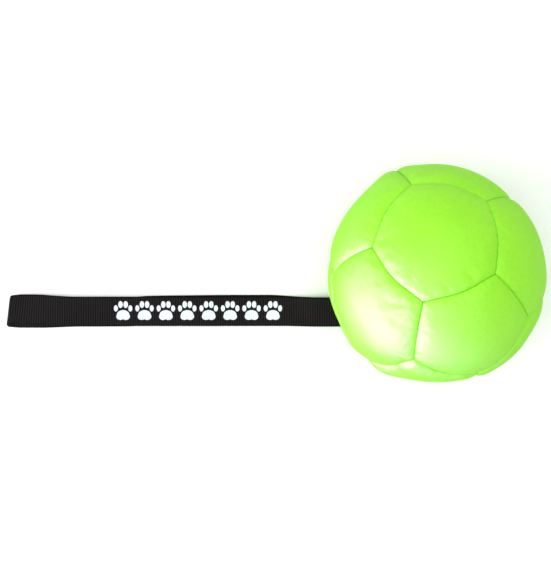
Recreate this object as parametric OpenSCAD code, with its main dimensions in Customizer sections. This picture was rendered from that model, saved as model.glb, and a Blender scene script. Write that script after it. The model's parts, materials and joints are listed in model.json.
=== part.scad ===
// Soft training bumper: a stuffed ball of twelve sewn pentagon panels with a webbing hand loop.
// Millimetres, +Z up. The origin is on the floor, straight under the middle of the ball.
// The handle lies flat on the floor and points towards -X.

/* [Ball] */
// Diameter over the crowned panels
ball_d = 140; // [136:1:146]
// Height the ball loses to the flat it rests on
settle = 3.5; // [2.5:0.5:4.5]
// Radius of each panel's own crown, smaller than the ball's radius
crown_r = 52; // [50:0.5:56]
// Thickness of the foam-backed fabric
fabric_t = 2; // [1.5:0.1:2.4]
// Width of the turned-in seam allowance
seam_allowance = 7; // [5:0.5:9]
// Thickness of a turned-in seam allowance
allowance_t = 1; // [0.6:0.1:1.4]
// Gap between two panels along a seam
seam_gap = 0.5; // [0.4:0.1:0.8]
// Turn of the panel pattern about its crown panel
pattern_spin = 45.5; // [44:0.5:47]
// Lean of the crown panel away from straight up
pattern_tilt = 16.8; // [15.8:0.2:17.8]
// Compass direction in which the crown panel leans, from +X
pattern_heading = 102.5; // [101:0.5:104]

/* [Handle] */
// Width of the webbing
webbing_w = 20; // [18:0.5:21]
// Thickness of one layer of webbing
webbing_t = 1.3; // [1:0.1:1.5]
// Gap between the two layers of the folded strip
layer_gap = 0.3; // [0.2:0.1:0.4]
// Distance from the middle of the ball to the folded end of the loop
handle_reach = 284; // [264:2:300]
// Sideways place of the handle, from the middle of the ball
handle_y = -25.3; // [-26:0.1:-24]
// Length of webbing sewn in behind the seam
tail_l = 16; // [14:1:18]
// Space between the lowest layer and the floor
floor_gap = 0.4; // [0.3:0.1:0.8]

/* [Handle creases] */
// Distance from the middle of the ball to the place where the handle twists
twist_x = 72; // [70:1:76]
// Distance from the middle of the ball to the place where the handle bends over
bend_x = 110; // [106:1:112]
// Distance from the middle of the ball to the place where the loop starts to open
open_x = 120; // [118:1:124]
// Length of the folded end beyond the far creases
fold_l = 8; // [6:1:10]

/* [Stitching] */
// Diameter of the seam thread
thread_d = 0.34; // [0.2:0.02:0.34]
// Needle holes in the row that holds the two tails together
tack_holes = 6; // [4:2:6]
// Pitch of that row
tack_pitch = 2.6; // [2.2:0.1:2.8]
// Diameter of the heavy tacking thread
tack_d = 0.7; // [0.5:0.1:0.8]

/* [Hidden] */
$fn = 96;

// The panels are the faces of a dodecahedron: the angle from one face's normal to the next,
// from a face's normal to its seam, the arc of one seam, and the turn between a face's seams.
face_angle = atan(2);
seam_angle = face_angle / 2;
golden = (1 + sqrt(5)) / 2;
seam_arc = 2 * atan(1 / golden ^ 2);
sector = 72;

// Panel numbers that other parts need. Panels 1 to 5 ring the crown, 7 to 11 ring the base.
CROWN = 0;
BASE = 6;
LOWER_LEFT = 7;
PANELS = 12;
// The base panel's seams that hold the handle and the hand-sewn closing.
HANDLE_SEAM = 0;
CLOSING_SEAM = 3;

ball_r = ball_d / 2;
ball_z = ball_r - settle;
// Each panel's crown is centred this far out from the middle of the ball.
crown_shift = ball_r - crown_r;
// Distance from the middle of the ball to the middle of a seam.
seam_r = crown_shift * cos(seam_angle) + sqrt(crown_r ^ 2 - (crown_shift * sin(seam_angle)) ^ 2);
// The seam allowances and the seam thread, measured from the middle of the ball.
allowance_r = seam_r - seam_allowance - 1.4;
thread_r = seam_r - 0.6 * seam_allowance;
closing_r = seam_r - 2.2;
// Clearances: stuffing to fabric, and webbing to the slot it leaves through.
fill_gap = 0.4;
slot_gap = 0.3;
big = 4 * ball_r;

// Turns a direction by the three pattern angles, in the order spin, tilt, heading.
function about_z(p, a) = [p.x * cos(a) - p.y * sin(a), p.x * sin(a) + p.y * cos(a), p.z];
function about_y(p, a) = [p.x * cos(a) + p.z * sin(a), p.y, p.z * cos(a) - p.x * sin(a)];
function placed(p) = about_z(about_y(about_z(p, pattern_spin), pattern_tilt), pattern_heading);

// The handle's seam, between the base panel and the lower left panel: outwards and lengthwise.
seam_out = placed(about_z([sin(seam_angle), 0, -cos(seam_angle)], sector / 2));
seam_along = placed(about_z([0, -1, 0], sector / 2));
// The handle leaves the seam where the seam crosses the handle's own upright plane.
seam_mid = [0, 0, ball_z] + seam_r * seam_out;
exit_shift = (handle_y - seam_mid.y) / seam_along.y;
exit = seam_mid + exit_shift * seam_along;
exit_slope = atan2(-seam_out.z, -seam_out.x);

// Heights and thicknesses of the doubled strip.
pair_t = 2 * webbing_t + layer_gap;
lower_z = floor_gap + webbing_t / 2;
upper_z = lower_z + webbing_t + layer_gap;
pair_z = (lower_z + upper_z) / 2;

// Half gaps that let the doubled strip, one layer and the twist turn at their creases.
pair_crease = pair_t / 2 + 0.15;
layer_crease = webbing_t / 2 + 0.05;
twist_crease = 0.3;

// The root stands proud of the seam up to the first crease. The neck starts beyond the crease
// and curves from the root's slope down to the floor.
swing_proud = 6;
neck_start = swing_proud + pair_crease;
function hundredths(x) = round(100 * x) / 100;
neck_r = hundredths((exit.z - pair_z - neck_start * sin(exit_slope)) / (1 - cos(exit_slope)));
neck_end_x = hundredths(neck_start * cos(exit_slope) + neck_r * sin(exit_slope) - exit.x);
leg_l = (handle_reach - fold_l - open_x) / 2;
mid_x = open_x + leg_l;
far_x = mid_x + leg_l;

// Depth of the tacking row behind the seam, and the room its thread needs on each side.
tack_depth = tail_l - 3.5;
tack_room = 2 * tack_d;

panel_green = [0.62, 0.95, 0.30];
thread_green = [0.35, 0.70, 0.15];
fibre_white = [0.93, 0.93, 0.90];
strap_black = [0.14, 0.13, 0.13];

// ---- frames ---------------------------------------------------------------

// Turns a child drawn with a panel's outward direction along +Z to panel k of the pattern.
module panel_turn(k) {
  if (k == CROWN) children();
  else if (k < BASE)
    rotate([0, 0, sector * (k - 1)]) rotate([0, face_angle, 0]) rotate([0, 0, 180]) children();
  else
    rotate([0, 0, sector / 2]) rotate([180, 0, 0]) panel_turn(k - BASE) children();
}

// Places that child on the ball.
module at_panel(k) {
  translate([0, 0, ball_z])
    rotate([0, 0, pattern_heading]) rotate([0, pattern_tilt, 0]) rotate([0, 0, pattern_spin])
      panel_turn(k) children();
}

// At seam i of a panel: +Z outwards through the seam, +Y along it.
module at_panel_seam(i) {
  rotate([0, 0, sector * i]) rotate([0, seam_angle, 0]) children();
}

// At the handle's exit from the ball: +Z out along the webbing, +Y across it,
// and +X towards the layer that ends up on top.
module at_exit() {
  translate(exit) rotate([0, -90 - exit_slope, 0]) children();
}

// Everything below a height.
module below(z) {
  translate([-big / 2, -big / 2, z - big]) cube(big);
}

// ---- ball -----------------------------------------------------------------

// A panel's outer face: its crown, cut along its five seams with the given margin.
module crown_cap(inset, margin) {
  difference() {
    translate([0, 0, crown_shift]) sphere(crown_r - inset);
    for (i = [0:4]) at_panel_seam(i) translate([-margin, -big / 2, -big / 2]) cube(big);
  }
}

// The opening that the doubled webbing takes through the seam.
module strap_slot(from, to, clearance) {
  at_exit() translate([-pair_t / 2 - clearance, -webbing_w / 2 - clearance, from])
    cube([pair_t + 2 * clearance, webbing_w + 2 * clearance, to - from]);
}

// One fabric panel: a crowned pentagon with its five edges turned in.
module panel(k) {
  color(panel_green) difference() {
    at_panel(k) crown_cap(0, seam_gap / 2);
    difference() {
      at_panel(k) crown_cap(fabric_t, seam_gap / 2 + allowance_t);
      if (k == BASE) below(fabric_t);
    }
    translate([0, 0, ball_z]) sphere(allowance_r);
    if (k == BASE) below(0);
    if (k == BASE || k == LOWER_LEFT) {
      strap_slot(-2 * tail_l, 2 * tail_l, slot_gap);
      // The seam allowances are trimmed back round the tacking row.
      strap_slot(-2 * tail_l, 1.5 - tack_depth, tack_room);
    }
  }
}

module crown_panel() { panel(CROWN); }
module upper_left_back_panel() { panel(1); }
module upper_left_front_panel() { panel(2); }
module upper_front_panel() { panel(3); }
module upper_right_panel() { panel(4); }
module upper_back_panel() { panel(5); }
// The base panel is pressed flat where it rests.
module base_panel() { panel(BASE); }
module lower_left_panel() { panel(LOWER_LEFT); }
module lower_back_panel() { panel(8); }
module lower_right_back_panel() { panel(9); }
module lower_right_front_panel() { panel(10); }
module lower_front_panel() { panel(11); }

// The fibre fills the ball up to the fabric, with grooves for the seam allowances
// and a pocket for the handle's tails.
module fibre_stuffing() {
  color(fibre_white) difference() {
    union() {
      translate([0, 0, ball_z]) sphere(allowance_r - fill_gap);
      for (k = [0:PANELS - 1])
        at_panel(k) crown_cap(fabric_t + fill_gap, seam_gap / 2 + allowance_t + fill_gap);
    }
    below(fabric_t + fill_gap);
    strap_slot(-tail_l - 2, tail_l, tack_room);
  }
}

// Thread along seam i of panel k, in the gap between the two seam allowances,
// between two angles measured from the middle of the seam.
module seam_thread(k, i, r, from, to) {
  at_panel(k) at_panel_seam(i) rotate([0, -90, 0])
    rotate_extrude(angle = to - from, start = from) translate([r, 0]) circle(d = thread_d, $fn = 24);
}

// Machine thread along every seam but the closing one. Along the handle's seam it runs
// from the webbing's inner edge to the end of the seam.
module seam_threads() {
  end = seam_arc / 2 - 1;
  strap_edge = (exit_shift + webbing_w / 2 + 2.5) / thread_r * 180 / PI;
  color(thread_green) {
    for (i = [0:4]) seam_thread(CROWN, i, thread_r, -end, end);
    seam_thread(BASE, HANDLE_SEAM, thread_r, strap_edge, end);
    for (i = [0:4]) if (i != HANDLE_SEAM && i != CLOSING_SEAM) seam_thread(BASE, i, thread_r, -end, end);
    for (k = [1:5], i = [1:3]) seam_thread(k, i, thread_r, -end, end);
    for (k = [7:11]) seam_thread(k, 1, thread_r, -end, end);
  }
}

// Hand thread that closes the last seam after stuffing, with a knot at each end.
module closing_stitch() {
  end = seam_arc / 2 - 2;
  knot_d = 1.3 * thread_d;
  color(thread_green) {
    seam_thread(BASE, CLOSING_SEAM, closing_r, -end, end);
    for (side = [-1, 1])
      at_panel(BASE) at_panel_seam(CLOSING_SEAM) rotate([-side * end, 0, 0])
        translate([0, 0, closing_r]) sphere(d = knot_d, $fn = 24);
  }
}

// ---- handle ---------------------------------------------------------------

// A flat layer of webbing between two distances from the middle of the ball.
module flat_layer(from, to, z) {
  translate([-to, handle_y - webbing_w / 2, z - webbing_t / 2]) cube([to - from, webbing_w, webbing_t]);
}

module flat_pair(from, to) {
  flat_layer(from, to, lower_z);
  flat_layer(from, to, upper_z);
}

// Children at each needle hole of the tacking row, +Z through the webbing.
module at_tack_holes() {
  for (i = [0:tack_holes - 1])
    at_exit() translate([0, (i - (tack_holes - 1) / 2) * tack_pitch, -tack_depth])
      rotate([0, 90, 0]) children();
}

// The two tails behind the seam and their short stub in front of it.
module handle_root() {
  color(strap_black) difference() {
    at_exit() for (x = [-pair_t / 2, layer_gap / 2])
      translate([x, -webbing_w / 2, -tail_l])
        cube([webbing_t, webbing_w, tail_l + swing_proud - pair_crease]);
    at_tack_holes() cylinder(h = 2 * pair_t, d = tack_d + 0.2, center = true);
  }
}

// Heavy thread through the needle holes, with bars on alternate faces of the webbing.
module handle_tack_stitches() {
  bar_d = 1.2 * tack_d;
  bar_x = pair_t / 2 + bar_d / 2 + 0.05;
  color(strap_black) {
    at_tack_holes() cylinder(h = 2 * bar_x, d = tack_d, center = true);
    at_exit() for (i = [0:tack_holes - 2])
      translate([(i % 2 == 0 ? 1 : -1) * bar_x, (i + 1 - tack_holes / 2) * tack_pitch, -tack_depth])
        rotate([90, 0, 0]) cylinder(h = tack_pitch + bar_d, d = bar_d, center = true);
  }
}

// From the first crease the webbing curves down to the floor and runs on to the twist.
module handle_neck() {
  color(strap_black) {
    for (r = [neck_r - pair_t / 2, neck_r + layer_gap / 2])
      translate([-neck_end_x, handle_y, pair_z + neck_r]) rotate([90, 0, 0])
        rotate_extrude(angle = exit_slope, start = 270)
          translate([r, -webbing_w / 2]) square([webbing_t, webbing_w]);
    flat_pair(neck_end_x, twist_x - twist_crease);
  }
}

module handle_shank() {
  color(strap_black) flat_pair(twist_x + twist_crease, bend_x - pair_crease);
}

module loop_throat() {
  color(strap_black) flat_pair(bend_x + pair_crease, open_x - layer_crease);
}

module loop_top_near() {
  color(strap_black) flat_layer(open_x + layer_crease, mid_x - layer_crease, upper_z);
}

module loop_top_far() {
  color(strap_black) flat_layer(mid_x + layer_crease, far_x - layer_crease, upper_z);
}

module loop_bottom_far() {
  color(strap_black) flat_layer(mid_x + layer_crease, far_x - layer_crease, lower_z);
}

module loop_bottom_near() {
  color(strap_black) flat_layer(open_x + layer_crease, mid_x - layer_crease, lower_z);
}

// The closed end, where the strip turns back on itself.
module loop_fold() {
  turn_x = handle_reach - pair_t / 2;
  color(strap_black) {
    flat_pair(far_x + layer_crease, turn_x);
    translate([-turn_x, handle_y, pair_z]) rotate([90, 0, 0])
      rotate_extrude(angle = 180, start = 90)
        translate([layer_gap / 2, -webbing_w / 2]) square([webbing_t, webbing_w]);
  }
}

crown_panel();
upper_left_back_panel();
upper_left_front_panel();
upper_front_panel();
upper_right_panel();
upper_back_panel();
base_panel();
lower_left_panel();
lower_back_panel();
lower_right_back_panel();
lower_right_front_panel();
lower_front_panel();
fibre_stuffing();
seam_threads();
closing_stitch();
handle_root();
handle_tack_stitches();
handle_neck();
handle_shank();
loop_throat();
loop_top_near();
loop_top_far();
loop_fold();
loop_bottom_far();
loop_bottom_near();
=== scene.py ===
"""Soft training bumper: the looks of the sewn ball and its webbing hand loop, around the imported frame.

Lengths are in metres, in the frame's own coordinates: +Z up, floor at 0, handle towards -X.
"""

import json
import math

import bpy
import numpy as np
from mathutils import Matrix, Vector, noise


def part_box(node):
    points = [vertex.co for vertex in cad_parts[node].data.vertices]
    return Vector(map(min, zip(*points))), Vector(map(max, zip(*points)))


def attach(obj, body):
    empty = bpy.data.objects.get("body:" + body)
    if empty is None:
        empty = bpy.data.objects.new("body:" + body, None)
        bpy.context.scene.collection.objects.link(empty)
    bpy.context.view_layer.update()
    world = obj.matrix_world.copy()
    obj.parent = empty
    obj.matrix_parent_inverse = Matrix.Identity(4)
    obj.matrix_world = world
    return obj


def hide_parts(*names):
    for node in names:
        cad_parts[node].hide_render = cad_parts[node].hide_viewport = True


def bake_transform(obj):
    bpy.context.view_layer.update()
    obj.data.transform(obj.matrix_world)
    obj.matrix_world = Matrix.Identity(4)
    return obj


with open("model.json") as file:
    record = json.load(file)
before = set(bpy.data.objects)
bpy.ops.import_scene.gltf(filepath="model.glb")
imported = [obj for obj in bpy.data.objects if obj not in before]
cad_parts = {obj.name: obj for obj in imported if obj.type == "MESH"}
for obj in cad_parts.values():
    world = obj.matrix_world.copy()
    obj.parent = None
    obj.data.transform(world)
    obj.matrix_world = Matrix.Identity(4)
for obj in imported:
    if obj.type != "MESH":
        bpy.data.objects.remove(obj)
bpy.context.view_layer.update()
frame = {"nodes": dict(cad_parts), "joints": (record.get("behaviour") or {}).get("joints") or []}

MM = 0.001
JOINT_AT = {j["name"]: np.array(j["pos_m"]) for j in frame["joints"]}

# ---- sizes of the ball's looks ----------------------------------------------------------------

FACE_ANGLE = math.atan(2)                  # from one panel's axis to the next
SEAM_ANGLE = FACE_ANGLE / 2                # from a panel's axis to the middle of its seam
CORNER_ANGLE = math.radians(37.377368)     # from a panel's axis to its corners
SEAM_HALF_ARC = math.radians(20.905157)    # from the middle of a seam to its end
SECTOR = math.radians(72)
KITE_CELLS = 22                            # cells along one side of each of a panel's five kites
SEAM_DEPTH = 3.1 * MM                      # how far the seams lie below the crowns
CORNER_DIP = 0.5 * MM                      # extra depth where three seams meet
STITCH_PITCH = 5.2 * MM
STITCH_DIP = 0.35 * MM                     # how far each stitch pulls its seam in
SEAM_HALF_GAP = 0.1 * MM                   # half the gap between two panels' edges
ALLOWANCE_RINGS = [0.5 * MM, 1.3 * MM, 2.6 * MM, 4.2 * MM, 6 * MM]     # depths of the turned-in edge's rings
DOME_R = 62 * MM                           # radius of a panel's own crown
CREASE = 1.8 * MM                          # depth and width of the roll beside each seam
CREASE_WIDTH = 3.0 * MM
PUCKER = 0.55                              # share of the simulated puckers that is kept
FABRIC = 1.6 * MM                          # thickness of the cover
FILL_GAP = 0.9 * MM                        # from the cover to the filling
LUMPS = 0.5 * MM                           # height of the ball's random lumps
FLAT_EASE = 1.5 * MM                       # height over which the flat underneath is rounded off
CLOTH_FRAMES = 20                          # steps of the cloth simulation that fills a panel
CLOTH_UNEVEN = 0.04 * MM                   # unevenness of a panel before it's filled
PUCKER_WINDOW = 121                        # neighbours that a pucker is measured against
PUCKER_EASE = 2 * MM                       # distance over which the puckers die away towards a seam
START_LIFT, START_EASE = 3 * MM, 4 * MM    # height of the panel before it's filled, and how soon it's reached
SEAM_GROOVE = 4.5 * MM                     # depth and width of the filling's groove under a seam
SEAM_GROOVE_WIDTH = 2.4 * MM
FLUFF = 0.5 * MM                           # roughness of the filling
STITCH_SHARE = 0.36                        # half a stitch's length, as a share of the pitch
STITCH_DEPTH = 0.15 * MM                   # how deep a stitch's middle lies in the seam
STITCH_BURIAL = 1.6 * MM                   # how much deeper its ends go
STITCH_R = 0.2 * MM
HAND_PITCH = 3.2 * MM                      # pitch and thread radius of the hand-sewn closing seam
HAND_THREAD_R = 0.22 * MM
# The filled ball has crept towards +Y: turn at the top, and its growth with y and with y squared.
LEAN = [math.radians(3.8), math.radians(0.3), math.radians(2.9)]
# How far panels push their seams outwards (+), or give way to their fuller neighbours (-).
SWELLS = [("crown_panel", 2.0 * MM), ("lower_front_panel", -2.2 * MM)]
SWELL_REACH = math.radians(14)             # how far from the seams this is felt
# Where the filling has bunched up (+) or is thin (-): direction from above and elevation in degrees,
# height, and width in degrees.
BUNCHES = [(305, 8, 3.4 * MM, 25), (347, 5, 2.0 * MM, 18), (62, 0, -1.3 * MM, 20), (142, 0, -1.2 * MM, 16),
           (113, 0, 3.2 * MM, 11), (222, 0, 3.0 * MM, 12), (240, 0, 3.2 * MM, 10), (294, 0, 1.1 * MM, 6)]
# Where the cover has crept round the ball: direction and elevation, turn about the upright axis, and width,
# all in degrees.
CREEPS = [(229, 4, 10, 22)]

# ---- sizes of the handle's looks --------------------------------------------------------------

WEB_W = 20 * MM                            # the webbing's width and thickness
WEB_T = 1.3 * MM
LAYER_GAP = 0.3 * MM
PROUD = 6 * MM                             # from the seam to the joint at the handle's root
NECK_START = 7.6 * MM                      # from the seam to where the strip starts to curve towards the floor
TAIL = 15 * MM                             # length of the tails behind the seam
RIB_PITCH = 1.6 * MM
RIB_HEIGHT = 0.16 * MM
RIB_STEP = RIB_PITCH / 6                   # length of the cells along the webbing
COLUMNS = 26                               # columns of cells across the webbing
FOLD_SLANT = 0.116                         # slope of the folded end, as sewn slightly askew
BLUNT = 0.12                               # least thickness share at a rounded end
TWISTED_S = 40 * MM                        # distance along the strip at which it is twisted most
UNTWIST = (50 * MM, 70 * MM)               # distances along the strip between which it untwists
LIFT_EASE = 8 * MM                         # it is lifted fully this far beyond the end of its curve
OPENING_REACH = 3.5 * MM                   # how far from the webbing the cover is pushed aside
OPENING_EASE = 2.2 * MM                    # length over which the seam closes again beside the webbing
OPENING_CLEAR = 6.5 * MM                   # no seam stitches this close beside the webbing
EXIT_ZONE = (40 * MM, 50 * MM)             # only cover this far out is pushed aside
# Where the strip is cut after the neck, shank, throat, near link and far link, as distances from the ball's
# middle.
CUTS = [58 * MM, 88.5 * MM, 117.5 * MM, 158 * MM, 237 * MM]
# Where it bends. The root's span is measured from the seam, the others from the ball's middle.
ROOT_SPAN, TWIST_SPAN, BEND_SPAN = (0.5 * MM, 11.5 * MM), (58.5 * MM, 85.5 * MM), (102 * MM, 117.5 * MM)
OPEN_SPAN, MIDDLE_SPAN, TURN_SPAN = (117.5 * MM, 122.5 * MM), (186 * MM, 210 * MM), (270 * MM, 282 * MM)
# How the layers stray from lying flat on each other. Each stray comes or goes over a span of distances from
# the ball's middle.
WAVE, WAVE_COMES, WAVE_GOES = 0.35 * MM, (50 * MM, 70 * MM), (262 * MM, 274 * MM)
APART, APART_COMES, APART_GOES = 1.1 * MM, (124 * MM, 160 * MM), (245 * MM, 272 * MM)
BALL_SHIFT, BALL_SHIFT_GOES = 0.3 * MM, (74 * MM, 94 * MM)
UPPER_FAN, UPPER_FAN_COMES = 1.5 * MM, (238 * MM, 268 * MM)
LOWER_SLIDE, LOWER_SLIDE_COMES = 0.4 * MM, (140 * MM, 235 * MM)
LOWER_FAN, LOWER_FAN_COMES = 0.8 * MM, (235 * MM, 262 * MM)
UPPER_TURN, LOWER_TURN = (275.5 * MM, 282.6 * MM), (273.5 * MM, 282.6 * MM)    # the fans shrink at the turn
SHOW, SHOW_COMES = 1.2 * MM, (83 * MM, 108 * MM)   # how far the lower layer shows beside the upper one

# ---- small helpers ----------------------------------------------------------------------------


def unit(v):
    v = np.asarray(v, float)
    return v / np.linalg.norm(v)


def centroid(node):
    """Area-weighted middle of a CAD node's surface."""
    mesh = frame["nodes"][node].data
    areas = np.array([p.area for p in mesh.polygons])
    centres = np.array([p.center for p in mesh.polygons])
    return (centres * areas[:, None]).sum(0) / areas.sum()


def smooth(x, lo, hi):
    """0 before lo, 1 after hi, easing in between."""
    t = np.clip((np.asarray(x, float) - lo) / (hi - lo), 0, 1)
    return t * t * (3 - 2 * t)


def mesh_object(name, verts, faces, materials=()):
    mesh = bpy.data.meshes.new(name)
    mesh.from_pydata([tuple(v) for v in verts], [], [tuple(f) for f in faces])
    mesh.update()
    mesh.shade_smooth()
    for m in materials:
        mesh.materials.append(m)
    obj = bpy.data.objects.new(name, mesh)
    bpy.context.scene.collection.objects.link(obj)
    return obj


def give_uv(obj, name, places):
    """Gives each vertex its place on the cloth, in metres."""
    layer = obj.data.uv_layers.new(name=name)
    loops = np.zeros(len(obj.data.loops), int)
    obj.data.loops.foreach_get("vertex_index", loops)
    layer.data.foreach_set("uv", np.asarray(places)[loops].astype(np.float32).ravel())


def on_ball(obj, node):
    """Puts a piece on the ball in place of its CAD node."""
    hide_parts(node)
    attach(obj, "ball")


def apply_modifiers(obj):
    graph = bpy.context.evaluated_depsgraph_get()
    mesh = bpy.data.meshes.new_from_object(obj.evaluated_get(graph), depsgraph=graph)
    obj.modifiers.clear()
    old, obj.data = obj.data, mesh
    bpy.data.meshes.remove(old)


def rough_noise(points, size, seed):
    """One number from about -1 to 1 for each point, changing over a distance of about size."""
    shift = Vector((seed * 17.3, seed * 5.1, seed * 9.7))
    return np.array([noise.noise(Vector(p) / size + shift) for p in points])


# ---- where the panels are ---------------------------------------------------------------------

OPPOSITE = [("upper_left_back_panel", "lower_right_front_panel"), ("upper_back_panel", "lower_front_panel"),
            ("upper_front_panel", "lower_back_panel"), ("upper_left_front_panel", "lower_right_back_panel")]
CENTRE = sum(centroid(a) + centroid(b) for a, b in OPPOSITE) / (2 * len(OPPOSITE))
BALL_R = max(np.linalg.norm(np.array(v.co) - CENTRE) for v in frame["nodes"]["crown_panel"].data.vertices)
SEAM_R = BALL_R - SEAM_DEPTH
PANELS = [n for n in frame["nodes"] if n.endswith("_panel")]


def panel_axes():
    """Each panel's own axes: its first seam's direction, the one across it and the panel's outward axis.
    They are those of the twelve faces of a dodecahedron."""
    crown = unit(centroid("crown_panel") - CENTRE)
    ring = unit(centroid("upper_front_panel") - CENTRE)
    across = unit(ring - (ring @ crown) * crown)
    other = np.cross(crown, across)
    axes = [crown, -crown]
    for i in range(5):
        a = SECTOR * i
        d = math.cos(FACE_ANGLE) * crown + math.sin(FACE_ANGLE) * (math.cos(a) * across + math.sin(a) * other)
        axes += [d, -d]
    found = {}
    for name in PANELS:
        way = unit(centroid(name) - CENTRE)
        axis = max(axes, key=lambda d: d @ way)
        beside = [d for d in axes if abs(d @ axis - math.cos(FACE_ANGLE)) < 0.01]
        x = unit(beside[0] - (beside[0] @ axis) * axis)
        found[name] = np.column_stack([x, np.cross(axis, x), axis])
    return found


AXES = panel_axes()


def seam_between(a, b):
    """(outward, lengthwise, from b to a) directions of the seam that two panels share."""
    out = unit(AXES[a][:, 2] + AXES[b][:, 2])
    side = unit(AXES[a][:, 2] - AXES[b][:, 2])
    return out, np.cross(side, out), side


# ---- one panel, in its own frame: axis along +Z, first seam towards +X -----------------------------


def pentagon_grid():
    """Unit directions over one panel, and its quads: five kites, each from the middle to a corner."""
    verts, index, quads = [], {}, []

    def corner(p):
        key = (round(p[0], 6), round(p[1], 6))
        if key not in index:
            index[key] = len(verts)
            verts.append((p[0], p[1], 1.0))
        return index[key]

    n = KITE_CELLS
    for i in range(5):
        rays = [math.tan(r) * np.array([math.cos(SECTOR * (i + k)), math.sin(SECTOR * (i + k))])
                for r, k in ((SEAM_ANGLE, 0), (CORNER_ANGLE, 0.5), (SEAM_ANGLE, 1))]
        grid = [[corner(s * (1 - t) * rays[0] + s * t * rays[1] + (1 - s) * t * rays[2])
                 for t in np.linspace(0, 1, n + 1)] for s in np.linspace(0, 1, n + 1)]
        quads += [(grid[u][v], grid[u + 1][v], grid[u + 1][v + 1], grid[u][v + 1])
                  for u in range(n) for v in range(n)]
    verts = np.array(verts)
    return verts / np.linalg.norm(verts, axis=1)[:, None], quads


DIRS, QUADS = pentagon_grid()
SEAM_NORMALS = np.array([(-math.cos(a) * math.cos(SEAM_ANGLE), -math.sin(a) * math.cos(SEAM_ANGLE),
                          math.sin(SEAM_ANGLE)) for a in SECTOR * np.arange(5)])
FROM_SEAMS = DIRS @ SEAM_NORMALS.T
RIM = FROM_SEAMS.min(axis=1)               # sine of the angle to the nearest seam
EDGE = np.where(RIM < 1e-7)[0]
EDGE = EDGE[np.argsort(np.arctan2(DIRS[EDGE, 1], DIRS[EDGE, 0]))]
NEAREST = np.argmin(FROM_SEAMS + 1e-9 * np.arange(5), axis=1)


def along_seam(directions, i):
    """Angle of each direction along seam i, from the seam's middle."""
    a = SECTOR * i
    slope = math.sin(SEAM_ANGLE)
    out = np.array([math.cos(a) * slope, math.sin(a) * slope, math.cos(SEAM_ANGLE)])
    way = np.array([-math.sin(a), math.cos(a), 0])
    return np.arctan2(directions @ way, directions @ out)


def seam_radius(angle):
    """Distance of a seam's line from the ball's middle: pulled in at each stitch and towards its corners."""
    length = np.abs(angle) * SEAM_R
    stitch = 0.5 + 0.5 * np.cos(2 * math.pi * length / STITCH_PITCH)
    near_end = np.abs(angle) / SEAM_HALF_ARC
    return SEAM_R - STITCH_DIP * stitch * (1 - near_end ** 8) - CORNER_DIP * near_end ** 6


EDGE_ANGLE = np.array([along_seam(DIRS[v], NEAREST[v]) for v in EDGE])
EDGE_R = seam_radius(EDGE_ANGLE)


def start_shape(rng):
    """The panel before it is filled: a low pillow over its seams, with slightly uneven cloth."""
    lift = START_LIFT * (1 - np.exp(-RIM * SEAM_R / START_EASE))
    radius = SEAM_R + lift + rng.uniform(-1, 1, len(DIRS)) * CLOTH_UNEVEN * (RIM > 0.02)
    radius[EDGE] = EDGE_R
    return DIRS * radius[:, None]


def filled_shape(points):
    """Fills the panel by cloth simulation: held at its seams, blown up by the stuffing."""
    obj = mesh_object("panel_cloth", points, QUADS)
    group = obj.vertex_groups.new(name="sewn")
    group.add([int(i) for i in EDGE], 1.0, "REPLACE")
    cloth = obj.modifiers.new("cloth", "CLOTH")
    s = cloth.settings
    s.quality, s.mass, s.air_damping = 4, 0.15, 2.0
    s.tension_stiffness = s.compression_stiffness = 25
    s.shear_stiffness, s.bending_stiffness = 8, 2.5
    s.vertex_group_mass = "sewn"
    s.use_pressure, s.uniform_pressure_force = True, 40
    s.shrink_min = -0.03
    s.effector_weights.gravity = 0
    cloth.collision_settings.use_collision = False
    for step in range(1, CLOTH_FRAMES + 1):
        bpy.context.scene.frame_set(step)
    graph = bpy.context.evaluated_depsgraph_get()
    co = np.array([v.co for v in obj.evaluated_get(graph).data.vertices])
    bpy.context.scene.frame_set(1)
    bpy.data.objects.remove(obj)
    return co


def section_radius():
    """The average section of a filled panel: a dome with a rolled crease at its seams."""
    shift = BALL_R - DOME_R
    sine = np.hypot(DIRS[:, 0], DIRS[:, 1])
    dome = shift * DIRS[:, 2] + np.sqrt(DOME_R ** 2 - (shift * sine) ** 2)
    return dome - CREASE * np.exp(-RIM * SEAM_R / CREASE_WIDTH)


SECTION_R = section_radius()


def panel_shape(seed):
    """A filled panel: the simulated puckers on the average section."""
    rng = np.random.RandomState(seed)
    points = start_shape(rng)
    points = filled_shape(points)
    radius = np.linalg.norm(points, axis=1)
    order = np.argsort(RIM)
    window = np.ones(PUCKER_WINDOW) / PUCKER_WINDOW
    average = np.convolve(np.pad(radius[order], PUCKER_WINDOW // 2, mode="edge"), window, "valid")
    pucker = np.zeros(len(radius))
    pucker[order] = radius[order] - average
    new = SECTION_R + PUCKER * pucker * (1 - np.exp(-RIM * SEAM_R / PUCKER_EASE))
    points = points * (new / radius)[:, None]
    points[EDGE] = DIRS[EDGE] * EDGE_R[:, None]
    return points


def allowance_rings():
    """Points of the turned-in edge, ring by ring, and its quads."""
    rings, quads, n = [], [], len(EDGE)
    before = list(EDGE)
    for depth in ALLOWANCE_RINGS:
        start = len(DIRS) + len(rings) * n
        rings.append(DIRS[EDGE] * (EDGE_R - depth)[:, None])
        now = list(range(start, start + n))
        quads += [(before[i], now[i], now[(i + 1) % n], before[(i + 1) % n]) for i in range(n)]
        before = now
    return rings, quads


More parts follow.
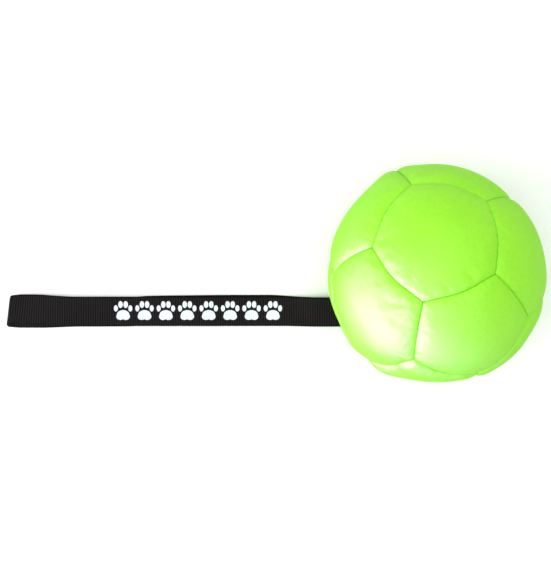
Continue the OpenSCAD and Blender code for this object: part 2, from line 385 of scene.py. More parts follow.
def held_off_seams(points, dirs):
    """Moves points off the seam planes by half the seam's gap. A corner keeps its distance from both seams."""
    shift = np.zeros_like(points)
    far = dirs @ SEAM_NORMALS.T
    for p in range(len(points)):
        close = np.where(far[p] < 1e-6)[0]
        if len(close) == 1:
            shift[p] = SEAM_NORMALS[close[0]] * SEAM_HALF_GAP
        elif len(close) > 1:
            both = SEAM_NORMALS[close[0]] + SEAM_NORMALS[close[1]]
            shift[p] = both * SEAM_HALF_GAP / (1 + SEAM_NORMALS[close[0]] @ SEAM_NORMALS[close[1]])
    return points + shift


# ---- the handle's exit ---------------------------------------------------------------------------

ROOT_MID = centroid("handle_root")
OUT = JOINT_AT["handle_swing"] - ROOT_MID
OUT[1] = 0
OUT = unit(OUT)
EXIT = JOINT_AT["handle_swing"] - PROUD * OUT
SLOPE = math.atan2(-OUT[2], -OUT[0])
SEAM_OUT, SEAM_ALONG, SEAM_SIDE = seam_between("lower_left_panel", "base_panel")
EXIT_ALONG = (EXIT - CENTRE) @ SEAM_ALONG
PAIR_T = 2 * WEB_T + LAYER_GAP


def part_for_handle(points, side):
    """Opens the handle's seam round the webbing. side is 1 for the panel above it and -1 for the base."""
    rel = points - CENTRE
    along = np.abs(rel @ SEAM_ALONG - EXIT_ALONG)
    away = rel @ SEAM_SIDE * side
    depth = np.exp(-np.clip(away, 0, None) / OPENING_REACH)
    wide = 1 - smooth(along, 0.5 * WEB_W, 0.5 * WEB_W + OPENING_EASE)
    near = smooth(rel @ SEAM_OUT, *EXIT_ZONE)
    return points + np.outer(side * (PAIR_T / 2 + SEAM_HALF_GAP) * depth * wide * near, SEAM_SIDE)


def turned(points, axes, angles):
    """Turns each point about its own axis through the ball's middle by its own angle."""
    rel = points - CENTRE
    c, s = np.cos(angles)[:, None], np.sin(angles)[:, None]
    dot = (rel * axes).sum(1)[:, None]
    return CENTRE + rel * c + np.cross(axes, rel) * s + axes * dot * (1 - c)


def crept(points):
    """Turns the top of the ball towards +Y, and leaves the bottom as it is."""
    way = (points - CENTRE) / np.linalg.norm(points - CENTRE, axis=1)[:, None]
    angle = (LEAN[0] + LEAN[1] * way[:, 1] + LEAN[2] * way[:, 1] ** 2) * smooth(way[:, 2], -0.6, 0.0)
    return turned(points, np.tile([-1.0, 0, 0], (len(points), 1)), angle)


def swollen(points, panel, swell):
    """Bows a panel's five seams outwards between their corners."""
    local = (points - CENTRE) @ AXES[panel]
    polar = np.arctan2(np.hypot(local[:, 0], local[:, 1]), local[:, 2])
    turn = np.arctan2(local[:, 1], local[:, 0])
    bow = 0.5 + 0.5 * np.cos(5 * turn)
    reach = np.exp(-((polar - SEAM_ANGLE) / SWELL_REACH) ** 2)
    sideways = np.column_stack([-np.sin(turn), np.cos(turn), np.zeros(len(turn))]) @ AXES[panel].T
    return turned(points, sideways, swell / BALL_R * bow * reach)


def degrees_from(points, compass, elevation):
    """Angle of each point from a direction, seen from the ball's middle."""
    a, e = math.radians(compass), math.radians(elevation)
    middle = np.array([math.cos(a) * math.cos(e), math.sin(a) * math.cos(e), math.sin(e)])
    rel = points - CENTRE
    return np.degrees(np.arccos(np.clip(rel @ middle / np.linalg.norm(rel, axis=1), -1, 1)))


def settled(points):
    """The ball's own unevenness: swollen panels, a crept cover, lumps of filling and the flat it rests on."""
    for panel, swell in SWELLS:
        points = swollen(points, panel, swell)
    points = crept(points)
    for compass, elevation, turn, width in CREEPS:
        angle = math.radians(turn) * np.exp(-(degrees_from(points, compass, elevation) / width) ** 2)
        points = turned(points, np.tile([0, 0, 1.0], (len(points), 1)), angle)
    rel = points - CENTRE
    radial = rel / np.linalg.norm(rel, axis=1)[:, None]
    lump = LUMPS * rough_noise(points, 30 * MM, 1) + 0.3 * LUMPS * rough_noise(points, 13 * MM, 2)
    for compass, elevation, height, width in BUNCHES:
        lump = lump + height * np.exp(-(degrees_from(points, compass, elevation) / width) ** 2)
    points = points + radial * lump[:, None]
    low = points[:, 2]
    eased = np.where(low < -FLAT_EASE, 0, (low + FLAT_EASE) ** 2 / (4 * FLAT_EASE))
    points[:, 2] = np.where(low < FLAT_EASE, eased, low)
    return points


def sewn_panel(name, seed, material):
    axes = AXES[name]
    rings, ring_quads = allowance_rings()
    skin = panel_shape(seed)
    points = held_off_seams(np.vstack([skin] + rings), np.vstack([DIRS] + [DIRS[EDGE]] * len(rings)))
    points = points @ axes.T + CENTRE
    if name in ("lower_left_panel", "base_panel"):
        points = part_for_handle(points, 1 if name == "lower_left_panel" else -1)
    points = settled(points)
    obj = mesh_object(name + "_cover", points, QUADS + ring_quads, [material])
    give_uv(obj, "Cloth", np.vstack([skin] + rings)[:, :2])
    obj.modifiers.new("fine", "SUBSURF").levels = 1
    thick = obj.modifiers.new("thick", "SOLIDIFY")
    thick.thickness, thick.offset = FABRIC, -1
    apply_modifiers(obj)
    on_ball(obj, name)
    return skin


class Weld:
    """Collects points, and gives the same number to points that lie within a small cell of each other."""

    cell = 0.05 * MM
    steps = [(a, b, c) for a in (0, -1, 1) for b in (0, -1, 1) for c in (0, -1, 1)]

    def __init__(self):
        self.points, self.numbers = [], {}

    def number(self, point):
        key = tuple(np.round(point / self.cell).astype(int))
        for a, b, c in self.steps:
            near = (key[0] + a, key[1] + b, key[2] + c)
            if near in self.numbers:
                return self.numbers[near]
        self.numbers[key] = len(self.points)
        self.points.append(point)
        return self.numbers[key]


def stuffing(skins, material):
    """The fibre follows the inside of the covers, with a groove at each seam allowance."""
    weld, faces = Weld(), []
    for name, skin in skins.items():
        radius = np.linalg.norm(skin, axis=1)
        groove = SEAM_GROOVE * np.exp(-(RIM * SEAM_R / SEAM_GROOVE_WIDTH) ** 2)
        inner = skin * ((radius - FABRIC - FILL_GAP - groove) / radius)[:, None]
        inner[EDGE] = DIRS[EDGE] * (EDGE_R - FABRIC - FILL_GAP - SEAM_GROOVE)[:, None]
        world = settled(inner @ AXES[name].T + CENTRE)
        world[:, 2] = np.maximum(world[:, 2], FABRIC + FILL_GAP)
        here = [weld.number(p) for p in world]
        faces += [tuple(here[v] for v in q) for q in QUADS]
    verts = np.array(weld.points)
    radial = verts - CENTRE
    radial /= np.linalg.norm(radial, axis=1)[:, None]
    verts -= radial * (FLUFF * np.abs(rough_noise(verts, 4 * MM, 5)))[:, None]
    obj = mesh_object("fibre_filling", verts, faces, [material])
    on_ball(obj, "fibre_stuffing")


# ---- thread ----------------------------------------------------------------------------------------


def add_tube(verts, faces, path, radius, sides=8):
    """A closed thread of the given radius along a path of points."""
    path = np.asarray(path, float)
    n, first = len(path), len(verts)
    ways = np.gradient(path, axis=0)
    helper = np.array([0.31, 0.52, 0.79])
    for p, way in zip(path, ways):
        w = unit(way)
        a = unit(np.cross(w, helper))
        b = np.cross(w, a)
        for k in range(sides):
            t = 2 * math.pi * k / sides
            verts.append(p + radius * (math.cos(t) * a + math.sin(t) * b))
    for i in range(n - 1):
        for k in range(sides):
            q = first + i * sides
            faces.append((q + k, q + (k + 1) % sides, q + sides + (k + 1) % sides, q + sides + k))
    faces.append(tuple(first + k for k in reversed(range(sides))))
    faces.append(tuple(first + (n - 1) * sides + k for k in range(sides)))


def seam_pairs():
    return [(a, b) for i, a in enumerate(PANELS) for b in PANELS[i + 1:]
            if abs(AXES[a][:, 2] @ AXES[b][:, 2] - math.cos(FACE_ANGLE)) < 0.01]


def on_seam(seam, angle, depth, aside=0.0):
    out, along, side = seam
    way = math.cos(angle) * out + math.sin(angle) * along
    return CENTRE + way * (seam_radius(np.array(angle)) - depth) + side * aside


def seam_stitches(material):
    """Lock stitches that show at the bottom of every machine-sewn seam."""
    verts, faces = [], []
    for a, b in seam_pairs():
        if {a, b} == {"base_panel", "lower_right_front_panel"}:
            continue
        seam = seam_between(a, b)
        handle = {a, b} == {"base_panel", "lower_left_panel"}
        reach = int(SEAM_HALF_ARC * SEAM_R / STITCH_PITCH)
        for k in range(-reach, reach + 1):
            if handle and abs(k * STITCH_PITCH - EXIT_ALONG) < 0.5 * WEB_W + OPENING_CLEAR:
                continue
            path = []
            for t in np.linspace(-1, 1, 9):
                angle = (k + STITCH_SHARE * t) * STITCH_PITCH / SEAM_R
                path.append(on_seam(seam, angle, STITCH_DEPTH + STITCH_BURIAL * t ** 4))
            add_tube(verts, faces, settled(np.array(path)), STITCH_R)
    obj = mesh_object("seam_stitches", verts, faces, [material])
    on_ball(obj, "seam_threads")


def hand_stitches(material):
    """The last seam is closed by hand after filling: slanted stitches from one edge to the other."""
    verts, faces = [], []
    seam = seam_between("base_panel", "lower_right_front_panel")
    reach = int(SEAM_HALF_ARC * SEAM_R * 0.9 / HAND_PITCH)
    under, over = 1.4 * MM, -0.25 * MM     # depth of the thread inside the cloth and on top of it
    path = []
    for k in range(-reach, reach + 1):
        for t, aside, depth in ((-0.35, -1.1 * MM, under), (-0.2, -0.8 * MM, over),
                                (0.2, 0.8 * MM, over), (0.35, 1.1 * MM, under)):
            path.append(on_seam(seam, (k + t) * HAND_PITCH / SEAM_R, depth, aside))
    path = settled(np.array(path))
    fine = []
    for a, b in zip(path, path[1:]):
        fine += [a * (1 - t) + b * t for t in (0, 1 / 3, 2 / 3)]
    add_tube(verts, faces, fine + [path[-1]], HAND_THREAD_R)
    obj = mesh_object("closing_stitches", verts, faces, [material])
    on_ball(obj, "closing_stitch")


# ---- materials --------------------------------------------------------------------------------------


class Shader:
    """Short names for the nodes of one material."""

    def __init__(self, name):
        self.mat = bpy.data.materials.new(name)
        self.mat.use_nodes = True
        self.tree = self.mat.node_tree
        self.bsdf = self.tree.nodes["Principled BSDF"]

    def node(self, kind, inputs=(), **settings):
        n = self.tree.nodes.new("ShaderNode" + kind)
        for key, value in settings.items():
            setattr(n, key, value)
        for key, value in dict(inputs).items():
            self.put(n.inputs[key], value)
        return n

    def put(self, socket, value):
        if isinstance(value, bpy.types.NodeSocket):
            self.tree.links.new(value, socket)
        else:
            socket.default_value = value

    def math(self, op, a, b=0.0, c=None):
        n = self.node("Math", {0: a, 1: b}, operation=op)
        if c is not None:
            self.put(n.inputs[2], c)
        return n.outputs[0]

    def ramp(self, value, lo, hi, to_lo=0.0, to_hi=1.0):
        """Eases from to_lo at lo to to_hi at hi."""
        limits = {"Value": value, "From Min": lo, "From Max": hi, "To Min": to_lo, "To Max": to_hi}
        return self.node("MapRange", limits, interpolation_type="SMOOTHSTEP").outputs["Result"]

    def ripple(self, value, pitch):
        """A sine wave, from -1 to 1, that repeats every pitch metres."""
        return self.math("SINE", self.math("MULTIPLY", value, 2 * math.pi / pitch))

    def noise(self, where, scale, detail=2.0, rough=0.5):
        settings = {"Vector": where, "Scale": scale, "Detail": detail, "Roughness": rough}
        return self.node("TexNoise", settings).outputs["Fac"]

    def mix(self, factor, a, b):
        n = self.node("Mix", data_type="RGBA")
        self.put(n.inputs["Factor"], factor)
        for key, value in ((6, a), (7, b)):
            self.put(n.inputs[key], value)
        return n.outputs[2]

    def place(self):
        return self.node("TexCoord").outputs["Object"]

    def uv(self, name):
        return self.node("UVMap", uv_map=name).outputs["UV"]

    def split(self, vector):
        n = self.node("SeparateXYZ", {0: vector})
        return n.outputs[0], n.outputs[1]

    def bump(self, height, distance, strength=1.0, under=None):
        n = self.node("Bump", {"Height": height, "Distance": distance, "Strength": strength})
        if under is not None:
            self.put(n.inputs["Normal"], under)
        return n.outputs["Normal"]

    def finish(self, **values):
        for key, value in values.items():
            self.put(self.bsdf.inputs[key.replace("_", " ")], value)
        return self.mat


NEON, NEON_LIGHT = (0.268, 0.765, 0.003, 1), (0.292, 0.78, 0.010, 1)
NEON_SPECK, NEON_WORN = (0.225, 0.70, 0.004, 1), (0.32, 0.79, 0.03, 1)
WEAVE_PITCH, WEAVE_SLOPE = 1.1 * MM, 0.8


def fabric_material():
    s = Shader("neon_softshell")
    place, cloth = s.place(), s.uv("Cloth")
    u, v = s.split(cloth)
    rising, falling = (s.ripple(s.math("ADD", u, s.math("MULTIPLY", v, slope)), WEAVE_PITCH)
                       for slope in (WEAVE_SLOPE, -WEAVE_SLOPE))
    weave = s.math("MULTIPLY", rising, falling)
    grain = s.noise(place, 900, 3)
    patch = s.noise(place, 28, 3)
    speck = s.noise(place, 420, 2)
    colour = s.mix(s.ramp(patch, 0.35, 0.65), NEON, NEON_LIGHT)
    colour = s.mix(s.ramp(speck, 0.42, 0.7, 0, 0.35), colour, NEON_SPECK)
    worn = s.ramp(s.math("MULTIPLY", s.noise(place, 60, 5), s.noise(place, 9, 2)), 0.3, 0.42, 0, 0.25)
    colour = s.mix(worn, colour, NEON_WORN)
    rough = s.ramp(grain, 0.3, 0.7, 0.56, 0.66)
    height = s.math("ADD", s.math("MULTIPLY", weave, 0.35), s.math("MULTIPLY", grain, 0.8))
    normal = s.bump(height, 0.1 * MM, 0.7)
    # Brushed cloth shines less at a glance than a smooth surface does.
    gloss = s.ramp(s.node("LayerWeight", {"Blend": 0.5}).outputs["Facing"], 0.35, 0.82, 0.66, 0.05)
    return s.finish(Base_Color=colour, Roughness=rough, Normal=normal, Specular_IOR_Level=gloss,
                    Sheen_Weight=0.14, Sheen_Roughness=0.35, Sheen_Tint=(1.0, 1.0, 0.9, 1))


def fibre_material():
    s = Shader("white_fibre")
    place = s.place()
    strands = s.noise(place, 500, 4, 0.7)
    colour = s.mix(strands, (0.78, 0.78, 0.75, 1), (0.93, 0.93, 0.9, 1))
    return s.finish(Base_Color=colour, Roughness=0.9, Normal=s.bump(strands, 0.6 * MM), Sheen_Weight=0.3)


def thread_material(name, dark, light):
    s = Shader(name)
    place = s.place()
    twist = s.node("TexWave", {"Vector": place, "Scale": 700.0, "Distortion": 2.0}).outputs["Fac"]
    colour = s.mix(twist, dark, light)
    return s.finish(Base_Color=colour, Roughness=s.ramp(twist, 0, 1, 0.5, 0.7),
                    Normal=s.bump(twist, 0.08 * MM), Sheen_Weight=0.2)


PRINT_FROM, PRINT_TO, PRINT_PITCH = -213 * MM, -97 * MM, 14.5 * MM
PRINT_RISE = 0.7 * MM
# Half a paw print in millimetres: middle and radii of the pad, its lobe, the inner toe and the outer toe.
PAW = [((0, -3.0), (4.2, 3.1)), ((1.9, -4.2), (2.7, 2.3)), ((1.75, 3.9), (1.5, 2.3)), ((4.9, 1.3), (1.35, 2.1))]
YARN_PITCH = 0.62 * MM
EDGE_SHADE_SPAN = (8.6 * MM, 9.7 * MM)             # distance from the webbing's middle over which painted shade darkens its rolled edges
# Painted shade in the grooves between the ribs, darker or lighter at random; the rib crests are the webbing's
# own black.
SHADED_GROOVE_DARK, SHADED_GROOVE_LIGHT = (0.004, 0.0033, 0.0036, 1), (0.0055, 0.0046, 0.005, 1)
# The edge colour is painted shade where the webbing's edges roll down.
RIB_BLACK, EDGE_SHADE_COLOUR = (0.0185, 0.0158, 0.0165, 1), (0.004, 0.0035, 0.004, 1)
# The print's ink, with painted shade in the grooves between the ribs and lit on their crests.
INK_SHADED, INK_LIT = (0.62, 0.68, 0.78, 1), (0.78, 0.83, 0.9, 1)


def ellipse(s, u, v, at, radii):
    """1 inside an ellipse, 0 outside, with a soft edge. at and radii are in millimetres."""
    a = s.math("DIVIDE", s.math("SUBTRACT", u, at[0] * MM), radii[0] * MM)
    b = s.math("DIVIDE", s.math("SUBTRACT", v, at[1] * MM), radii[1] * MM)
    r = s.math("SQRT", s.math("ADD", s.math("MULTIPLY", a, a), s.math("MULTIPLY", b, b)))
    return s.ramp(r, 0.94, 1.06, 1, 0)


def paw_print(s, u, v):
    """A row of plain paw prints along the webbing: 1 on the ink, 0 beside it."""
    step = s.math("WRAP", s.math("SUBTRACT", u, PRINT_FROM), PRINT_PITCH, 0.0)
    across = s.math("ABSOLUTE", s.math("SUBTRACT", step, PRINT_PITCH / 2))
    up = s.math("SUBTRACT", v, PRINT_RISE)
    ink = ellipse(s, across, up, *PAW[0])
    for at, radii in PAW[1:]:
        ink = s.math("MAXIMUM", ink, ellipse(s, across, up, at, radii))
    within = s.math("MULTIPLY", s.math("GREATER_THAN", u, PRINT_FROM), s.math("LESS_THAN", u, PRINT_TO))
    return s.math("MULTIPLY", ink, within)


def webbing_material(name, printed):
    s = Shader(name)
    strap = s.uv("Strap")
    u, v = s.split(strap)
    yarn, pick = s.ripple(v, YARN_PITCH), s.ripple(u, RIB_PITCH)
    fuzz = s.noise(strap, 1500, 3, 0.6)
    patch = s.noise(strap, 60, 3)
    edge = s.ramp(s.math("ABSOLUTE", v), *EDGE_SHADE_SPAN)
    # Painted shade: the webbing is darker in the grooves between its ribs than on their crests.
    groove = s.mix(s.ramp(patch, 0.3, 0.7), SHADED_GROOVE_DARK, SHADED_GROOVE_LIGHT)
    colour = s.mix(s.ramp(pick, -0.9, 0.9), groove, RIB_BLACK)
    # Painted shade: the edge mask darkens the webbing towards its rolled edges.
    colour = s.mix(s.math("MULTIPLY", edge, 0.75), colour, EDGE_SHADE_COLOUR)
    rough = s.ramp(fuzz, 0.3, 0.7, 0.6, 0.75)
    height = s.math("ADD", s.math("MULTIPLY", yarn, 0.5), s.math("MULTIPLY", fuzz, 0.7))
    normal = s.bump(height, 0.06 * MM, 0.7)
    if printed:
        ink = paw_print(s, u, v)
        wear = s.ramp(s.noise(strap, 700, 4, 0.65), 0.63, 0.72, 1.0, 0.72)
        ink = s.math("MULTIPLY", ink, wear)
        # The ink carries painted shade in the rib grooves and is lighter on the crests.
        colour = s.mix(ink, colour, s.mix(s.ramp(pick, -1, 1), INK_SHADED, INK_LIT))
        rough = s.math("ADD", rough, s.math("MULTIPLY", ink, -0.12))
    return s.finish(Base_Color=colour, Roughness=rough, Normal=normal, Specular_IOR_Level=0.015)


# ---- webbing ----------------------------------------------------------------------------------------

PAIR_Z = JOINT_AT["handle_twist"][2]
REACH = -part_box("loop_fold")[0].x
STRAP_Y = JOINT_AT["handle_twist"][1]
NECK_R = (EXIT[2] - PAIR_Z - NECK_START * math.sin(SLOPE)) / (1 - math.cos(SLOPE))
NECK_ARC = NECK_R * SLOPE
NECK_END_X = EXIT[0] - NECK_START * math.cos(SLOPE) - NECK_R * math.sin(SLOPE)
FLAT_S = NECK_START + NECK_ARC             # distance along the strip at which it lies flat
TURN_R = PAIR_T / 2 - WEB_T / 2            # radius of the turned end's middle line
TURN_STEPS = 15
TURN_X = -REACH + PAIR_T / 2
LOOP_X = JOINT_AT["loop_open"][0]
ALONG_Y = np.array([0, 1.0, 0])
# The seam's slant about the strip's own length, and the side it slants to.
ROLL = math.acos(min(1.0, abs(unit(SEAM_ALONG - (SEAM_ALONG @ OUT) * OUT)[1])))
ROLL *= np.sign(np.cross(ALONG_Y, SEAM_ALONG * np.sign(SEAM_ALONG[1])) @ OUT)


def strip_frame(s):
    """Point, upward normal and widthwise vector of the pair's middle line, s metres from the seam."""
    if s < NECK_START:
        point, dip = EXIT + s * OUT, SLOPE
    elif s < FLAT_S:
        dip = SLOPE - (s - NECK_START) / NECK_R
        point = np.array([NECK_END_X + NECK_R * math.sin(dip), STRAP_Y, PAIR_Z + NECK_R * (1 - math.cos(dip))])
    else:
        point, dip = np.array([NECK_END_X - (s - FLAT_S), STRAP_Y, PAIR_Z]), 0.0
    up = np.array([-math.sin(dip), 0, math.cos(dip)])
    # The strip leaves the seam at the seam's own slant, twists a little more, then untwists and lies flat.
    # Where it is twisted it is lifted, so that its lower edge stays off the floor.
    roll = ROLL * (1 + float(smooth(s, FLAT_S, TWISTED_S))) * (1 - float(smooth(s, *UNTWIST)))
    lifted = float(smooth(s, NECK_START, FLAT_S + LIFT_EASE))
    point = point + up * WEB_W / 2 * abs(math.sin(roll)) * lifted
    up, across = up * math.cos(roll) - ALONG_Y * math.sin(roll), ALONG_Y * math.cos(roll) + up * math.sin(roll)
    return point, up, across


def s_at(x):
    """Distance along the strip at which its flat part reaches x."""
    return FLAT_S + NECK_END_X - x


def layer_line(s_from, s_to, layer):
    """Frames along one layer. layer is 1 for the upper one and -1 for the lower one."""
    count = max(2, int(round(abs(s_to - s_from) / RIB_STEP)) + 1)
    rows = []
    for s in np.linspace(s_from, s_to, count):
        point, up, across = strip_frame(s)
        x = point[0]
        lift = layer_lift(x, layer)
        rows.append((point + up * (layer * (WEB_T + LAYER_GAP) / 2 + lift) + across * layer_shift(x, layer),
                     up, across, x, s))
    return rows


def layer_lift(x, layer):
    """The strip isn't ironed flat: it waves a little, and its layers stand apart inside the loop."""
    wave = WAVE * (1 + math.sin(x * 70)) * float(smooth(-x, *WAVE_COMES) * (1 - smooth(-x, *WAVE_GOES)))
    apart = APART * float(smooth(-x, *APART_COMES) * (1 - smooth(-x, *APART_GOES)))
    return wave + (apart if layer > 0 else 0.0)


def layer_shift(x, layer):
    """The two layers don't lie quite over each other: they fan apart sideways near the turned end,
    and the lower one shows on the +Y side nearer the ball."""
    out = -x
    beside_ball = BALL_SHIFT * (1 - smooth(out, *BALL_SHIFT_GOES))
    if layer > 0:
        fan = UPPER_FAN * smooth(out, *UPPER_FAN_COMES) * (1 - 0.35 * smooth(out, *UPPER_TURN))
        return float(fan - beside_ball)
    fan = LOWER_SLIDE * smooth(out, *LOWER_SLIDE_COMES) + LOWER_FAN * smooth(out, *LOWER_FAN_COMES)
    fan = fan * (1 - 0.45 * smooth(out, *LOWER_TURN))
    share = 0.6 * (1 - smooth(out, 185 * MM, 203 * MM)) + 0.4 * (1 - smooth(out, 100 * MM, 210 * MM))
    return float(SHOW * share * smooth(out, *SHOW_COMES) - fan - beside_ball)


def turn_line():
    """Frames round the closed end, from the upper layer to the lower one."""
    rows = []
    for t in np.linspace(0, math.pi, TURN_STEPS):
        out = np.array([-math.sin(t), 0, math.cos(t)])
        shift = sum(layer_shift(TURN_X, layer) * (1 + layer * math.cos(t)) / 2 for layer in (1, -1))
        point = np.array([TURN_X, STRAP_Y + shift, PAIR_Z]) + out * TURN_R
        rows.append((point, out, ALONG_Y, TURN_X - TURN_R * math.sin(t), s_at(TURN_X) + TURN_R * t))
    return rows


def cross_section():
    """Across and outward shares of the webbing's outline, anticlockwise from the upper -Y edge."""
    half = WEB_W / 2 - WEB_T / 2
    v = np.linspace(-half, half, COLUMNS + 1)
    top = [(x, WEB_T / 2, 1) for x in v]
    right = [(half + WEB_T / 2 * math.sin(t), WEB_T / 2 * math.cos(t), 0)
             for t in np.linspace(0, math.pi, 7)[1:-1]]
    return top + right + [(x, -y, -1) for x, y, _ in reversed(top)] + [(-x, -y, 0) for x, y, _ in right]


SECTION = cross_section()


def rib(s, v, seed):
    """Height of the crosswise ribs, which waver a little and run out at the selvages."""
    wobble = 0.22 * MM * math.sin(v * 260 + seed) + 0.18 * MM * math.sin(v * 610 + 2 * seed + s * 90)
    inside = 1 - float(smooth(abs(v), 8.2 * MM, 9.2 * MM))
    return RIB_HEIGHT * (inside * (0.5 + 0.5 * math.cos(2 * math.pi * (s + wobble) / RIB_PITCH)) - 0.5)


def add_webbing(verts, faces, uvs, kinds, rows, layer, round_end):
    """Sweeps the ribbed section along rows of frames, and rounds off the last one if asked."""
    first, n = len(verts), len(SECTION)
    rows = [row + (1.0,) for row in rows]
    if round_end:
        p, up, across, x, s, _ = rows[-1]
        way = unit(np.cross(up, across))
        rows += [(p + way * WEB_T / 2 * math.sin(t), up, across, x, s, math.cos(t))
                 for t in np.linspace(0, math.pi / 2, 5)[1:]]
    for p, up, across, x, s, thin in rows:
        near_end = float(smooth(-x, REACH - 30 * MM, REACH - 4 * MM))
        narrow = 1 - 0.05 * float(smooth(-x, REACH - 2.2 * MM, REACH))
        for v, h, side in SECTION:
            tall = h + (side * rib(s, v, 1.0 + layer) if side else 0.0)
            point = p + across * v * narrow + up * tall * max(thin, BLUNT)
            point = point + np.array([FOLD_SLANT * v * near_end, 0, 0])
            verts.append(point)
            uvs.append((x, v if side else math.copysign(WEB_W / 2, v)))
            kinds.append(side)
    m = len(rows)
    for i in range(m - 1):
        for k in range(n):
            q = first + i * n
            faces.append((q + k, q + n + k, q + n + (k + 1) % n, q + (k + 1) % n))
    faces.append(tuple(first + k for k in range(n)))
    faces.append(tuple(first + (m - 1) * n + k for k in reversed(range(n))))


def webbing_piece(name, spans, materials, nodes, bodies, start, end):
    """One length of webbing, swept along spans (rows, layer, round end).
    The arguments bodies, start and end are not used."""
    verts, faces, uvs, kinds = [], [], [], []
    printed = []
    for rows, layer, round_end in spans:
        before = len(faces)
        add_webbing(verts, faces, uvs, kinds, rows, layer, round_end)
        printed += [layer > 0] * (len(faces) - before)
    obj = mesh_object(name, verts, faces, materials)
    give_uv(obj, "Strap", uvs)
    for i, f in enumerate(faces):
        if printed[i] and len(f) == 4 and all(kinds[k] > 0 for k in f):
            obj.data.polygons[i].material_index = 1
    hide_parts(*nodes)
    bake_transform(obj)


def along_strip(*distances):
    """Points on the strip's middle line at distances from the ball's middle."""
    return [(-distance, STRAP_Y, PAIR_Z) for distance in distances]


def handle(materials):
    """The webbing's two layers, cut where the strip's bodies meet."""
    def both(a, b):
        return [(layer_line(a, b, layer), layer, False) for layer in (1, -1)]

    neck, shank, throat, near, far = (s_at(-cut) for cut in CUTS)
    turn, free_end = s_at(TURN_X), s_at(LOOP_X)
    upper_turn, lower_turn = turn_line()[:TURN_STEPS // 2 + 1], turn_line()[TURN_STEPS // 2:]
    root_span = [tuple(EXIT + way * OUT) for way in ROOT_SPAN]
    webbing_piece("strap_root", both(-TAIL, neck), materials,
                  ["handle_root", "handle_neck"], ["ball", "neck"], *root_span)
    webbing_piece("strap_twist", both(neck, shank), materials,
                  ["handle_shank"], ["neck", "shank"], *along_strip(*TWIST_SPAN))
    webbing_piece("strap_throat", [(layer_line(shank, throat, 1), 1, False),
                                   (layer_line(shank, free_end, -1), -1, True)], materials,
                  ["loop_throat"], ["shank", "throat"], *along_strip(*BEND_SPAN))
    webbing_piece("strap_top_near", [(layer_line(throat, near, 1), 1, False)], materials,
                  ["loop_top_near"], ["throat", "top_near"], *along_strip(*OPEN_SPAN))
    webbing_piece("strap_top_middle", [(layer_line(near, far, 1), 1, False)], materials,
                  ["loop_top_far"], ["top_near", "top_far"], *along_strip(*MIDDLE_SPAN))
    webbing_piece("strap_turn_upper", [(layer_line(far, turn, 1)[:-1] + upper_turn, 1, False)], materials,
                  ["loop_fold"], ["top_far", "fold"], *along_strip(*TURN_SPAN))
    webbing_piece("strap_turn_lower", [(lower_turn + layer_line(turn, far, -1)[1:], -1, False)], materials,
                  ["loop_bottom_far"], ["fold", "bottom_far"], *along_strip(*reversed(TURN_SPAN)))
    webbing_piece("strap_bottom", [(layer_line(far, free_end, -1), -1, True)], materials,
                  ["loop_bottom_near"], ["bottom_far", "bottom_near"], *along_strip(*reversed(MIDDLE_SPAN)))


# ---- stage ---------------------------------------------------------------------------------------

FLOOR_SIZE = 8.0
FLOOR_FADE = (0.4, 1.3)                    # distances from the origin between which the floor turns white
BACKDROP, FILL_LIGHT = 1.1, 0.54           # brightness of the backdrop as the camera and as the object see it
CAMERA_AT = (-0.1025, -0.0122, 1.15)
CAMERA_LENS, CAMERA_SENSOR = 104.24, 36    # millimetres


def softbox(name, at, size, power, tall=None):
    """A lamp that faces the ball: square, or size wide and tall high. The camera doesn't see it."""
    light = bpy.data.lights.new(name, "AREA")
    light.energy, light.size = power, size
    if tall:
        light.shape, light.size_y = "RECTANGLE", tall
    lamp = bpy.data.objects.new(name, light)
    bpy.context.scene.collection.objects.link(lamp)
    lamp.location = at
    lamp.rotation_mode = "QUATERNION"
    lamp.rotation_quaternion = (Vector(CENTRE) - Vector(at)).to_track_quat("-Z", "Y")
    lamp.visible_camera = False
    return lamp


HANDLE_NODES = {"neck": "handle_neck", "shank": "handle_shank", "throat": "loop_throat",
                "top_near": "loop_top_near", "top_far": "loop_top_far", "fold": "loop_fold",
                "bottom_far": "loop_bottom_far", "bottom_near": "loop_bottom_near"}


def keep_floor_below(floor):
    """When a pose swings the handle below the floor, the floor drops with it, as if the ball were held up."""
    marks = [("ball", (0, 0, 0))]
    for body, node in HANDLE_NODES.items():
        lo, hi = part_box(node)
        marks += [(body, (x, y, z)) for x in (lo.x, hi.x) for y in (lo.y, hi.y) for z in (lo.z, hi.z)]
    lowest = floor.driver_add("location", 2).driver
    lowest.type = "MIN"
    for i, (body, at) in enumerate(marks):
        mark = bpy.data.objects.new(f"mark_{body}_{i}", None)
        bpy.context.scene.collection.objects.link(mark)
        mark.location = at
        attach(mark, body)
        height = lowest.variables.new()
        height.name, height.type = f"z{i}", "TRANSFORMS"
        height.targets[0].id = mark
        height.targets[0].transform_type, height.targets[0].transform_space = "LOC_Z", "WORLD_SPACE"


def floor_material():
    """Pale, and far from the object it runs out into the white backdrop."""
    s = Shader("pale_floor")
    grain = s.noise(s.place(), 40, 2)
    s.finish(Base_Color=s.mix(grain, (0.9, 0.9, 0.9, 1), (0.92, 0.92, 0.92, 1)), Roughness=0.9)
    distance = s.node("VectorMath", {0: s.place()}, operation="LENGTH").outputs["Value"]
    seen = s.node("LightPath").outputs["Is Camera Ray"]
    share = s.math("MULTIPLY", s.ramp(distance, *FLOOR_FADE), seen)
    white = s.node("Emission", {"Color": (1, 1, 1, 1), "Strength": BACKDROP}).outputs[0]
    both = s.node("MixShader", {0: share, 1: s.bsdf.outputs[0], 2: white}).outputs[0]
    s.tree.links.new(both, s.tree.nodes["Material Output"].inputs["Surface"])
    return s.mat


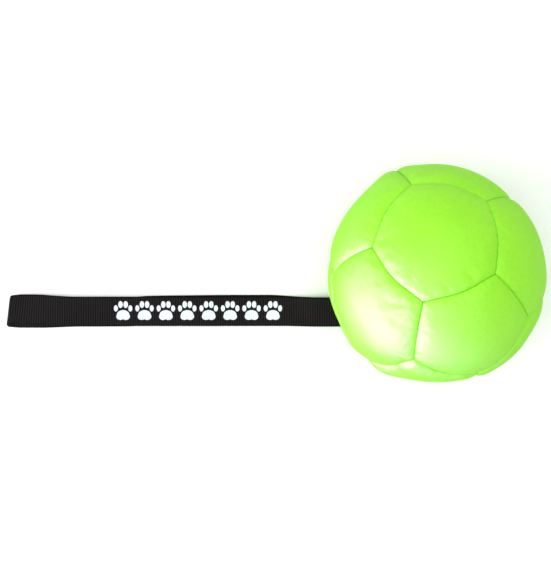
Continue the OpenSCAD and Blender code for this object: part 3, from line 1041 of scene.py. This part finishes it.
def backdrop():
    """Shows as white, and lights the scene less than that."""
    world = bpy.data.worlds.new("studio")
    bpy.context.scene.world = world
    world.use_nodes = True
    nodes, links = world.node_tree.nodes, world.node_tree.links
    nodes["Background"].inputs["Color"].default_value = (1, 1, 1, 1)
    strength = nodes.new("ShaderNodeMapRange")
    strength.inputs["To Min"].default_value = FILL_LIGHT
    strength.inputs["To Max"].default_value = BACKDROP
    links.new(nodes.new("ShaderNodeLightPath").outputs["Is Camera Ray"], strength.inputs["Value"])
    links.new(strength.outputs["Result"], nodes["Background"].inputs["Strength"])


def floor_and_light():
    half = FLOOR_SIZE / 2
    floor = mesh_object("floor", [(-half, -half, 0), (half, -half, 0), (half, half, 0), (-half, half, 0)],
                        [(0, 1, 2, 3)], [floor_material()])
    keep_floor_below(floor)
    backdrop()
    softbox("overhead", (0.0, 0.0, 1.7), 1.4, 21.0)
    softbox("key", (-1.14, -0.28, 0.6), 0.8, 9.0)
    # The light from the lower left makes the pale patches on the fabric. It acts on gloss only.
    sheen = softbox("sheen", (-0.84, -0.90, 0.2), 1.6, 140.0, 0.4)
    sheen.data.color = (0.86, 0.97, 1.0)
    sheen.visible_diffuse = False
    bpy.context.scene.view_settings.view_transform = "Standard"
    bpy.context.scene.view_settings.look = "None"


def camera():
    """Looks straight down from above, between the ball and the handle."""
    data = bpy.data.cameras.new("camera")
    data.lens, data.sensor_width = CAMERA_LENS, CAMERA_SENSOR
    data.clip_start, data.clip_end = 0.05, 20
    cam = bpy.data.objects.new("camera", data)
    bpy.context.scene.collection.objects.link(cam)
    cam.location = CAMERA_AT
    bpy.context.scene.camera = cam


# ---- the object -----------------------------------------------------------------------------------

fabric = fabric_material()
skins = {name: sewn_panel(name, 11 + i, fabric) for i, name in enumerate(PANELS)}
stuffing(skins, fibre_material())
green_thread = thread_material("green_thread", (0.09, 0.42, 0.005, 1), (0.16, 0.62, 0.02, 1))
seam_stitches(green_thread)
hand_stitches(green_thread)
tacking = frame["nodes"]["handle_tack_stitches"].data.materials
tacking.clear()
tacking.append(thread_material("black_thread", (0.01, 0.01, 0.01, 1), (0.03, 0.03, 0.03, 1)))
handle([webbing_material("black_webbing", False), webbing_material("printed_webbing", True)])
floor_and_light()
camera()
